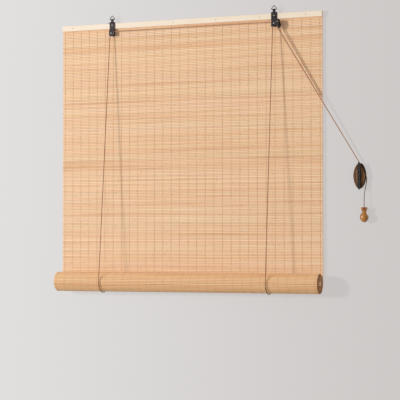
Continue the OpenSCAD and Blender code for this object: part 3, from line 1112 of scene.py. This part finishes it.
@dataclass
class MatRoll(MatPart):
    """The rolled part of the mat on its bottom bar; its outside is the back of the mat."""

    seed: int = 29
    slats: int = 194
    threaded: int = 44
    wander: float = 0.00016
    end_play: float = 0.0011
    axis_y: float = -0.0385
    axis_z: float = -0.833
    outer: float = 0.0316
    turn_pitch: float = 0.003

    def _angle(self, along: float) -> float:
        """Angle round the roll after a length of mat, in radians."""
        rest = self.outer ** 2 - self.turn_pitch * along / math.pi
        return 2 * math.pi / self.turn_pitch * (self.outer - math.sqrt(rest))

    def _step(self) -> float:
        """Length of mat from one slat to the next."""
        return self.stock.pitch

    def _along(self, number: int) -> float:
        """Length of mat to the middle of a slat."""
        return (number + 0.5) * self.stock.pitch

    def _spot(self, number: int, along: float, out: float) -> Vector:
        """A point beside the middle of a wound slat.

        Args:
            number: The slat.
            along: How far the point is moved along the mat.
            out: How far it is moved out from the axis.

        Returns:
            The point at X = 0.
        """
        turn = self._angle(self._along(number) + along)
        reach = self.outer - self.turn_pitch * turn / (2 * math.pi) + out
        return Vector((0.0, self.axis_y + reach * math.cos(turn), self.axis_z - reach * math.sin(turn)))

    def build(self) -> None:
        """Builds the wound slats, the threads of the outer turns and the bar's finish."""
        places = []
        for k in range(self.slats):
            turn = Matrix.Rotation(-self._angle(self._along(k)), 4, "X")
            places.append(Matrix.Translation(self._spot(k, 0.0, 0.0)) @ turn)
        self._slats("roll_slats", places, Body.ROLL, "mat_roll")
        self._twine("roll_thread", Body.ROLL)
        dress_node("bottom_bar", Finishes.bar_wood)


# Cords


@dataclass(frozen=True)
class CordStock:
    """Laid cord."""

    diameter: float = 0.0024
    sides: int = 12

    def run(
        self, name: str, path: Line, finish: Finish, node: str, body: Body = Body.FRAME,
        lay: str = "taut", far_end: str = "object", on_it: Iterable[Piece] = (),
    ) -> Piece:
        """Builds one stretch of cord in the place of its CAD solid.

        Args:
            name: Name of the piece.
            path: The line that it follows.
            finish: Its finish.
            node: The CAD node that it stands for.
            body: The body that carries it.
            lay: Not used.
            far_end: Not used.
            on_it: Not used.

        Returns:
            The piece.
        """
        mesh = Strand(path, self.diameter / 2, self.sides, CORD_LAY).mesh()
        piece = finish_piece(name, mesh, [finish], body, [node])
        return piece


@dataclass
class LiftCord:
    """One lift cord: knot, back run, loop under the roll and front run up to its wheel."""

    side: Side
    wheel_top: Way
    cord: CordStock = CordStock()
    loop_x: float = 285.3
    loop_r: float = 34.3
    axis: Spot = (-38.5, -833.0)
    back_line: tuple[Spot, ...] = ((-3.0, 10.0), (-3.0, 0.0), (-3.0, -29.0), (-3.2, -200.0))
    step: float = 0.02
    loop_steps: int = 32
    joint_gap: float = 0.0001
    wheel_gap: float = 0.0002
    knot_at: Spot = (-3.0, 11.2)
    knot_size: float = 0.62
    knot_waist: float = 1.6
    knot_rise: float = 1.1
    knot_cord: float = 0.00105
    knot_steps: int = 60

    def _touch(self) -> float:
        """Angle at which the front run meets the roll, in degrees."""
        angle = touch_angle(self.wheel_top[1:], self.axis, self.loop_r, 1)
        return angle + 360 if angle < 0 else angle

    def _loop_point(self, angle: float) -> Vector:
        """Point of the loop under the roll.

        Args:
            angle: Angle round the roll, in degrees.

        Returns:
            The point.
        """
        turn = math.radians(angle)
        return mm(
            self.side.value * self.loop_x,
            self.axis[0] + self.loop_r * math.cos(turn),
            self.axis[1] + self.loop_r * math.sin(turn),
        )

    def build(self) -> None:
        tag = self.side.name.lower()
        x = self.side.value * self.loop_x
        touch = self._touch()
        low_front, low_back = self._loop_point(touch), self._loop_point(360)
        rise = (mm(*self.wheel_top) - low_front).normalized()

        bends = [*(mm(x, y, z) for y, z in self.back_line), low_back + Vector((0, 0, self.joint_gap))]
        back = even_steps(smooth_line(bends, per_span=4), self.step)
        knot = self._knot(tag, x)
        run = self.cord.run(f"{tag}_back_cord", back, Finishes.cord, f"{tag}_back_run", on_it=[knot])
        self._shorten(run)

        steps = self.loop_steps
        loop = [self._loop_point(touch + (360 - touch) * k / steps) for k in range(steps + 1)]
        self.cord.run(f"{tag}_loop_cord", loop, Finishes.loop_cord, f"{tag}_loop", Body.LIFT)

        ends = [mm(*self.wheel_top) - rise * self.wheel_gap, low_front + rise * self.joint_gap]
        front = even_steps(ends, self.step)
        run = self.cord.run(f"{tag}_front_cord", front, Finishes.cord, f"{tag}_front_run")
        self._shorten(run)

    def _shorten(self, run: Piece) -> None:
        """Gives a run its own mesh."""
        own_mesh(run)

    def _knot(self, tag: str, x: float) -> Piece:
        """Builds the stop knot on the back batten.

        Args:
            tag: The side's name.
            x: Where the cord is, in millimetres.

        Returns:
            The knot.
        """
        turns = [2 * math.pi * k / self.knot_steps for k in range(self.knot_steps + 1)]
        bends = [
            mm(
                x + self.knot_size * (math.sin(t) + self.knot_waist * math.sin(2 * t)),
                self.knot_at[0] + self.knot_size * (math.cos(t) - self.knot_waist * math.cos(2 * t)),
                self.knot_at[1] - self.knot_rise * math.sin(3 * t),
            )
            for t in turns
        ]
        mesh = Strand(bends, self.knot_cord, self.cord.sides, CORD_LAY).mesh()
        return finish_piece(
            f"{tag}_stop_knot", mesh, [Finishes.cord], Body.FRAME, [f"{tag}_knot"]
        )


@dataclass
class PullCords:
    """Both cords from the wheels past the lock's nose to the cleat."""

    cord: CordStock = CordStock()
    left_wheel: Spot = (-266.4, -23.7)
    right_wheel: Spot = (299.3, -23.7)
    path_r: float = 6.0
    nose: Spot = (312.9, -36.8)
    nose_r: float = 4.0
    rear_y: float = -18.4
    front_y: float = -24.2
    end: Spot = (567.0, -462.3)
    rear_end_y: float = -7.6
    front_end_y: float = -10.4
    step: float = 0.02
    quarter_steps: int = 8
    nose_steps: int = 5

    def _down(self, y: float, end_y: float) -> list[Vector]:
        """The stretch from the nose of the lock to the hank.

        Args:
            y: Depth at the nose, in millimetres.
            end_y: Depth at the hank, in millimetres.

        Returns:
            Its line.
        """
        out = touch_angle(self.end, self.nose, self.nose_r, -1) + 360
        bend = arc_xz(self.nose, self.nose_r, y, self._cross() + 270, out, self.nose_steps)
        return bend + [mm(self.end[0], end_y, self.end[1])]

    def _cross(self) -> float:
        """Way of the cord from the wheel to the nose.

        Returns:
            Its angle, in degrees.
        """
        across, down = self.nose[0] - self.right_wheel[0], self.nose[1] - self.right_wheel[1]
        lean = math.asin((self.path_r + self.nose_r) / math.hypot(across, down))
        return math.degrees(math.atan2(down, across) - lean)

    def build(self) -> None:
        """Builds both pull cords."""
        turn, steps = self._cross() + 90, self.quarter_steps
        left = (
            arc_xz(self.left_wheel, self.path_r, self.rear_y, 180, 90, steps)
            + arc_xz(self.right_wheel, self.path_r, self.rear_y, 90, turn, steps)
            + self._down(self.rear_y, self.rear_end_y)
        )
        right = (
            arc_xz(self.right_wheel, self.path_r, self.front_y, 180, turn, 2 * steps)
            + self._down(self.front_y, self.front_end_y)
        )
        for name, path in (("left", left), ("right", right)):
            fine = even_steps(path, self.step)
            self.cord.run(f"{name}_pull", fine, Finishes.pull_cord, f"{name}_pull_cord")


@dataclass
class CleatWinding:
    """The wall cleat with the spare cord wound on it."""

    cord: CordStock = CordStock()
    middle: Spot = (569.0, -504.0)
    layers: int = 6
    deep: int = 4
    points: int = 28
    inner: Spot = (6.8, 22.0)
    outer: Spot = (18.6, 38.6)
    y_back: float = -4.75
    y_step: float = -2.75
    point_share: float = 0.05
    square: float = 2.4
    sway: float = 0.35
    sway_step: float = 2.4
    cleat_edge: float = 0.0009

    def _turn_point(self, turn: float, angle: float) -> Vector:
        """Point of the winding.

        Args:
            turn: Turns from the start.
            angle: Angle in the turn, in radians.

        Returns:
            The point.
        """
        last = self.layers * self.deep - 1
        whole = min(math.floor(turn), last)
        ease = max(0.0, (turn - whole) * 4 - 3)  # the last quarter leads over to the next turn
        depth = share = 0.0
        for number, weight in ((whole, 1 - ease), (min(whole + 1, last), ease)):
            layer, spot = divmod(number, self.deep)
            depth += (spot if layer % 2 == 0 else self.deep - 1 - spot) * weight
            share += layer * weight / (self.layers - 1)
        wide = self.inner[0] + (self.outer[0] - self.inner[0]) * share
        tall = self.inner[1] + (self.outer[1] - self.inner[1]) * share
        across, up = math.cos(angle), math.sin(angle)
        straight = tall - wide
        pointed = (across + self.point_share * math.cos(3 * angle)) / (1 + self.point_share)
        leaf = Vector((wide * pointed, tall * up))
        long_ = Vector((wide * across, wide * up + straight * math.tanh(up * self.square)))
        at = long_.lerp(leaf, share)
        sway = self.sway * math.sin(whole * self.sway_step + 3 * angle)
        return mm(self.middle[0] + at.x + sway, self.y_back + self.y_step * depth, self.middle[1] + at.y)

    def _line(self) -> list[Vector]:
        """Line of the winding.

        Returns:
            Points from the top of its inner turn to where it goes down on the right.
        """
        steps = (self.layers * self.deep - 1) * self.points + self.points // 4
        turns = [k / self.points for k in range(steps + 1)]
        return [self._turn_point(turn, math.pi / 2 - 2 * math.pi * turn) for turn in turns]

    def build(self) -> Vector:
        """Builds the wound cord and the cleat.

        Returns:
            The point at which the cord leaves the winding.
        """
        path = self._line()
        self.cord.run("wound_cord", path, Finishes.wound_cord, "cord_hank", lay="coiled")
        RoundedNode("cleat", self.cleat_edge, segments=3).build(Finishes.black, Slot.BLACK_PLASTIC)
        return path[-1]


@dataclass
class AcornPull:
    """The tail of the cord and the turned acorn on its end."""

    start: Vector
    cord: CordStock = CordStock()
    top: Way = (583.76, -14.0, -600.0)
    radius: float = 13.0
    height: float = 46.0
    bore: float = 1.5
    bore_low: float = -14.0
    bore_edge: float = 0.5
    rim: float = 10.4
    rim_curve: tuple[Spot, ...] = ((-1.6, 0.0), (-0.4, -0.9), (0.0, -2.6), (-0.5, -4.4))
    neck: float = 6.76
    neck_share: float = 0.34
    neck_steps: int = 6
    belly: float = 0.45
    belly_steps: int = 18
    facets: int = 48
    tail: tuple[Way, ...] = (
        (589.6, -5.7, -512.64), (589.2, -8.2, -525.12), (586.4, -10.7, -542.4), (584.06, -12.5, -561.6),
        (583.56, -13.7, -582.72), (583.76, -14, -600), (583.76, -14, -612),
    )

    def build(self) -> None:
        """Builds the acorn and the tail."""
        path = smooth_line([self.start, *(mm(*place) for place in self.tail)], per_span=5)
        self.cord.run(
            "tail_cord", path, Finishes.tail_cord, "cord_tail",
            lay="hanging", far_end="fitting", on_it=[self._acorn()],
        )

    def _half_outline(self) -> list[Spot]:
        """Half outline of the acorn.

        Returns:
            Radius and height of points from its bore round to its foot, in millimetres.
        """
        bore, edge, neck, belly = self.bore, self.bore_edge, self.neck, self.belly
        line = [(bore, self.bore_low), (bore, -edge), (bore + edge, 0.0)]
        line += [(self.rim + out, up) for out, up in self.rim_curve]
        lip, rim_low = line[-1]
        neck_low = -self.height * self.neck_share
        for k in range(1, self.neck_steps + 1):
            t = k / self.neck_steps
            line.append((neck + (lip - neck) * (1 - t) ** 2, rim_low + t * (neck_low - rim_low)))
        for k in range(1, self.belly_steps + 1):
            t = k / self.belly_steps
            if t < belly:
                reach = neck + (self.radius - neck) * math.sin(math.pi / 2 * t / belly)
            else:
                reach = self.radius * math.sqrt(max(0.0, 1 - ((t - belly) / (1 - belly)) ** 2))
            line.append((max(reach, 0.0), neck_low - t * (self.height + neck_low)))
        return line

    def _acorn(self) -> Piece:
        """Turns the acorn from its half outline.

        Returns:
            The acorn.
        """
        shape = bmesh.new()
        verts = [shape.verts.new(mm(r, 0, z)) for r, z in [(0.0, self.bore_low), *self._half_outline()]]
        edges = [shape.edges.new(pair) for pair in zip(verts, verts[1:])]
        bmesh.ops.spin(
            shape, geom=[*verts, *edges], cent=(0, 0, 0), axis=(0, 0, 1),
            angle=2 * math.pi, steps=self.facets, use_merge=True,
        )
        bmesh.ops.remove_doubles(shape, verts=shape.verts, dist=1e-6)
        bmesh.ops.recalc_face_normals(shape, faces=shape.faces)
        bmesh.ops.translate(shape, vec=mm(*self.top), verts=shape.verts)
        mesh = from_bmesh(shape, sharp=50.0)
        return finish_piece("turned_acorn", mesh, [Finishes.acorn], Body.FRAME, ["acorn"])


# Headrail and brackets


@dataclass
class Headrail:
    """The two nailed battens."""

    battens: tuple[str, ...] = ("headrail_front", "headrail_back")
    nails: str = "headrail_nails"

    def dress(self) -> None:
        """Gives the battens and nails their finishes."""
        for name in self.battens:
            dress_node(name, Finishes.pine)
        dress_node(self.nails, Finishes.nail_steel)


@dataclass
class HangBracket:
    """A strap with its ring, screw, folded housing, wheels and rivets."""

    sheets: tuple[str, ...]
    ring: str
    rivets: tuple[str, ...]
    wheels: tuple[str, ...]
    edge: float = 0.00032

    def dress(self) -> None:
        """Rounds the sheet steel's edges and gives each node its finish."""
        for name in self.sheets:
            RoundedNode(name, self.edge).build(Finishes.dark_steel, Slot.DARK_STEEL)
        dress_node(self.ring, Finishes.dark_steel)
        for name in self.rivets:
            dress_node(name, Finishes.bright_steel)
        for name in self.wheels:
            dress_node(name, Finishes.nylon)


# Studio


@dataclass
class Studio:
    """Camera, lamps and a pale backdrop with a painted falloff of light and painted shade behind the mat."""

    eye: Way = (1.870, -4.412, -0.714)
    yaw: float = 22.55
    pitch: float = 1.71
    lens: float = 135.0
    key_way: Way = (-1.1, -1.0, 0.16)
    key_power: float = 480.0
    key_size: float = 1.0
    back_way: Way = (0.6, 1.0, 0.5)
    back_share: float = 0.3
    back_size: float = 2.0
    lamp_aim: Way = (0.05, 0.0, -0.4)
    lamp_far: float = 8.0
    sky: float = 0.42
    sky_seen: Colour = (0.82, 0.815, 0.81, 1.0)
    sky_fill: Colour = (1.0, 0.935, 0.86, 1.0)
    # Painted falloff of light: the backdrop's glowing tone darkens from left to right.
    paper_painted_bright_left: Colour = paint(225, 224, 224)
    paper_painted_dim_right: Colour = paint(208, 204, 203)
    # Painted shade: a warm dark tone behind the mat.
    paper_painted_shade: Colour = paint(176, 122, 78)
    paper_matt: float = 0.22
    shade_reach: float = 0.014
    backdrop_line: tuple[Spot, ...] = ((0.0008, 2.0), (0.0008, -1.9), (-5.0, -1.9))
    backdrop_half: float = 4.0
    backdrop_bend: float = 0.4

    def camera(self) -> None:
        """Puts the camera where the picture was taken from."""
        data = bpy.data.cameras.new("camera")
        data.lens, data.sensor_width = self.lens, 36.0
        data.clip_start, data.clip_end = 0.05, 60.0
        eye = put("camera", data)
        eye.location = self.eye
        eye.rotation_euler = (math.radians(90 + self.pitch), 0.0, math.radians(self.yaw))
        bpy.context.scene.camera = eye
        bpy.context.scene.view_settings.view_transform = "Standard"

    def _lamp(self, name: str, way: Way, power: float, size: float) -> None:
        """Puts up one round lamp that shines on the middle of the blind.

        Args:
            name: Its name.
            way: The way to it from the blind.
            power: Its power in watts.
            size: Its width in metres.
        """
        data = bpy.data.lights.new(name, "AREA")
        data.energy, data.shape, data.size = power, "DISK", size
        lamp = put(name, data)
        ahead = Vector(way).normalized()
        lamp.location = Vector(self.lamp_aim) + ahead * self.lamp_far
        lamp.rotation_euler = ahead.to_track_quat("Z", "Y").to_euler()
        lamp.visible_camera = False

    def light(self) -> None:
        """Puts up the key lamp, a weak lamp behind and an even sky."""
        self._lamp("key", self.key_way, self.key_power, self.key_size)
        self._lamp("back", self.back_way, self.key_power * self.back_share, self.back_size)
        world = bpy.data.worlds.new("sky")
        bpy.context.scene.world = world
        b = Bench(world)
        seen = b.node("ShaderNodeBackground", {}, {0: self.sky_seen, 1: 1.0})
        fill = b.node("ShaderNodeBackground", {}, {0: self.sky_fill, 1: self.sky})
        direct = b.node("ShaderNodeLightPath", {}, {}, "Is Camera Ray")
        b.end(b.node("ShaderNodeMixShader", {}, {0: direct, 1: fill, 2: seen}), "ShaderNodeOutputWorld")

    def backdrop(self) -> None:
        """Hangs the backdrop: a sheet that runs in a curve to the floor, seen only from its front."""
        shape = bmesh.new()
        verts = [shape.verts.new((-self.backdrop_half, y, z)) for y, z in self.backdrop_line]
        edges = [shape.edges.new(pair) for pair in zip(verts, verts[1:])]
        made = bmesh.ops.extrude_edge_only(shape, edges=edges)["geom"]
        far = [v for v in made if isinstance(v, bmesh.types.BMVert)]
        bmesh.ops.translate(shape, vec=(2 * self.backdrop_half, 0, 0), verts=far)
        corner = [e for e in shape.edges if len(e.link_faces) == 2]
        round_edges(shape, corner, self.backdrop_bend, segments=12)
        shape.normal_update()
        upright = max(shape.faces, key=lambda f: f.calc_center_median().z)
        if upright.normal.y > 0:
            bmesh.ops.reverse_faces(shape, faces=shape.faces)
        sheet = put("backdrop", from_bmesh(shape, sharp=60.0))
        sheet.data.materials.append(self._paper())

    def _paper(self) -> Material:
        """Pale paper that glows, with a painted falloff of light from left to right and painted shade close
        behind the mat; it takes faint shadows and stops no light.

        Returns:
            The material.
        """
        made = bpy.data.materials.new("backdrop_paper")
        b = Bench(made)
        across, _, _ = b.split(b.place())
        # Painted falloff of light across the backdrop.
        tone = b.mix(across.ramp(-0.9, 1.0), self.paper_painted_bright_left, self.paper_painted_dim_right)
        open_sky = b.node("ShaderNodeAmbientOcclusion", {"samples": 8}, {"Distance": self.shade_reach}, "AO")
        # Painted shade: the glow turns to the warm dark tone where ambient occlusion finds the mat close in
        # front.
        lit = b.mix(open_sky.ramp(0.0, 0.6), self.paper_painted_shade, tone)
        glow = b.node("ShaderNodeEmission", {}, {0: lit, 1: 1.0})
        plain = b.node("ShaderNodeBsdfDiffuse", {}, {0: tone})
        matt = b.node("ShaderNodeMixShader", {}, {0: self.paper_matt, 1: glow, 2: plain})
        clear = b.node("ShaderNodeBsdfTransparent")
        path = b.node("ShaderNodeLightPath", {}, {}, "Is Camera Ray")
        outs = path.out.node.outputs
        seen = path + Sock(b, outs["Is Glossy Ray"]) + Sock(b, outs["Is Transmission Ray"])
        behind = b.node("ShaderNodeNewGeometry", {}, {}, "Backfacing")
        b.end(b.node("ShaderNodeMixShader", {}, {0: seen * (1 - behind), 1: clear, 2: matt}))
        return made


def main() -> None:
    """Builds the blind's pieces in order."""
    logging.basicConfig(level=logging.INFO, format="%(message)s")
    studio = Studio()
    studio.camera()
    LiftCord(Side.LEFT, wheel_top=(-272.4, -18.4, -23.7)).build()
    LiftCord(Side.RIGHT, wheel_top=(293.3, -24.2, -23.7)).build()
    PullCords().build()
    AcornPull(start=CleatWinding().build()).build()
    SlatMat().build()
    MatRoll().build()
    Headrail().dress()
    HangBracket(
        sheets=("left_strap", "left_housing"), ring="left_ring",
        rivets=("left_screw", "left_axle"), wheels=("left_wheel",),
    ).dress()
    HangBracket(
        sheets=("right_strap", "lock_housing"), ring="right_ring",
        rivets=("right_screw", "right_axle", "cam_pin_rivet"), wheels=("rear_wheel", "front_wheel"),
    ).dress()
    dress_node("lock_cam", Finishes.dark_steel)
    studio.light()
    studio.backdrop()


if __name__ == "__main__":
    main()
